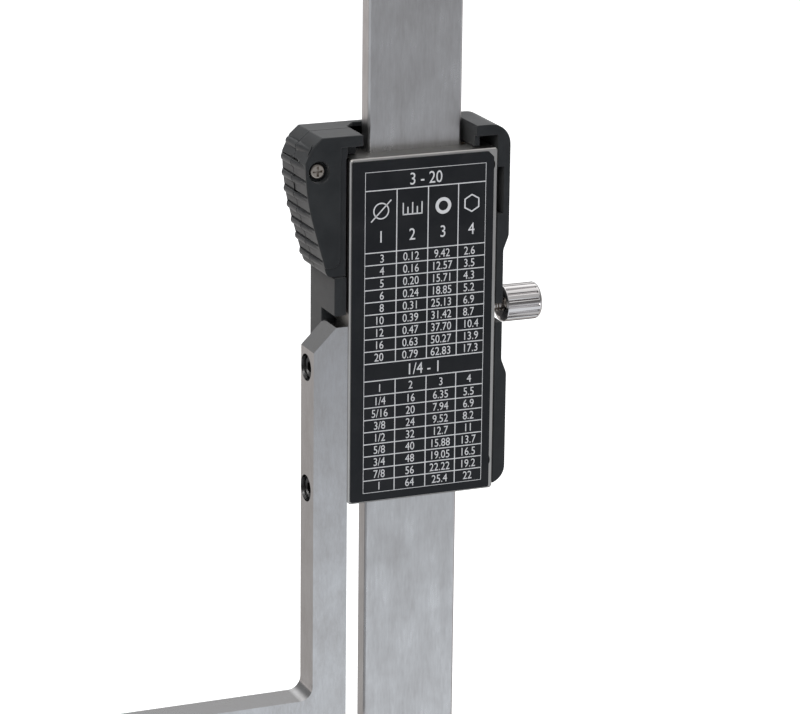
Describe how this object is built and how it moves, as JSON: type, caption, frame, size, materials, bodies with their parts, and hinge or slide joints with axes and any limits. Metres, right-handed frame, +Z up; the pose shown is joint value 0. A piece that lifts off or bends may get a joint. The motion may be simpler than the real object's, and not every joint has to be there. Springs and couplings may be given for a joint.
{
  "type": "height gauge",
  "caption": "Digital height gauge: cast base, steel beam, slider with display head, ribbed thumb grip, lock screw, and an L-shaped arm with a clamped scriber.",
  "frame": {"origin": "on the base's ground underside, straight below the middle of the beam", "axes": "+Z up along the beam; the display faces -Y; the measuring arm and scriber reach out along +X"},
  "size_m": [0.1984, 0.06, 0.27],
  "materials": {
    "beam_steel": "ground lengthwise, satin",
    "frame_steel": "ground satin steel",
    "arm_steel": "ground satin steel",
    "base_iron": "black wrinkle paint, ground underside",
    "stop_steel": "blackened steel",
    "clamp_steel": "satin steel",
    "tip_metal": "ground hard metal",
    "chrome": "polished chrome plate",
    "screw_steel": "plain screw steel",
    "black_screw": "black oxide",
    "housing_black": "fine moulded texture",
    "label_black": "smooth printed film with pale rules and numbers",
    "scale_film": "printed film with ruling",
    "front_film": "smooth printed film",
    "board_green": "circuit board laminate",
    "display_grey": "liquid crystal panel",
    "connector_rubber": "striped rubber",
    "window_clear": "clear polished plastic",
    "key_plastic": "soft grey moulding",
    "key_red": "soft red moulding",
    "battery_steel": "nickel-plated can",
    "contact_brass": "sprung brass"
  },
  "bodies": {
    "base": {"base_casting": "base_iron", "beam": "beam_steel", "scale_strip": "scale_film", "beam_clamp_plate": "stop_steel", "beam_clamp_screws": "black_screw", "beam_end_stop": "stop_steel", "end_stop_screws": "screw_steel"},
    "slider": {"slider_frame": "frame_steel", "gib_strip": "contact_brass", "gib_screws": "black_screw", "back_label": "label_black", "measuring_arm": "arm_steel", "arm_screws": "black_screw", "housing_front": "housing_black", "housing_screws": "screw_steel", "grip_back_cover": "housing_black", "grip_screw": "screw_steel", "circuit_board": "board_green", "sensor_board": "board_green", "key_switches": "screw_steel", "display_panel": "display_grey", "display_connector": "connector_rubber", "display_window": "window_clear", "front_label": "front_film", "battery": "battery_steel", "battery_contact": "contact_brass"},
    "lock_screw": {"lock_screw": "chrome"},
    "key_power": {"key_power": "key_red"},
    "key_zero": {"key_zero": "key_plastic"},
    "key_units": {"key_units": "key_plastic"},
    "battery_cover": {"battery_cover": "housing_black"},
    "scriber_clamp": {"scriber_clamp": "clamp_steel"},
    "clamp_screw": {"clamp_screw": "chrome"},
    "scriber": {"scriber": "arm_steel", "scriber_tip": "tip_metal"}
  },
  "joints": [
    {"name": "slider_travel", "type": "slide", "parent": "base", "child": "slider", "axis": [0, 0, 1], "range_m": [-0.06, 0.09]},
    {"name": "lock_turn", "type": "hinge", "parent": "slider", "child": "lock_screw", "pos_m": [-0.01675, 0, 0.1397], "axis": [-1, 0, 0], "range_deg": [0, 360]},
    {"name": "key_power_press", "type": "slide", "parent": "slider", "child": "key_power", "axis": [0, 1, 0], "range_m": [0, 0.00035], "stiffness_N_per_m": 600},
    {"name": "key_zero_press", "type": "slide", "parent": "slider", "child": "key_zero", "axis": [0, 1, 0], "range_m": [0, 0.00035], "stiffness_N_per_m": 600},
    {"name": "key_units_press", "type": "slide", "parent": "slider", "child": "key_units", "axis": [0, 1, 0], "range_m": [0, 0.00035], "stiffness_N_per_m": 600},
    {"name": "battery_cover_slide", "type": "slide", "parent": "slider", "child": "battery_cover", "axis": [0, 0, 1], "range_m": [0, 0.016]},
    {"name": "clamp_slide", "type": "slide", "parent": "slider", "child": "scriber_clamp", "axis": [1, 0, 0], "range_m": [-0.02, 0.004]},
    {"name": "clamp_screw_turn", "type": "hinge", "parent": "scriber_clamp", "child": "clamp_screw", "pos_m": [0.078, 0.00233, 0.07755], "axis": [0, 0, 1], "range_deg": [0, 360]},
    {"name": "scriber_slide", "type": "slide", "parent": "scriber_clamp", "child": "scriber", "axis": [1, 0, 0], "range_m": [-0.006, 0.006]}
  ]
}
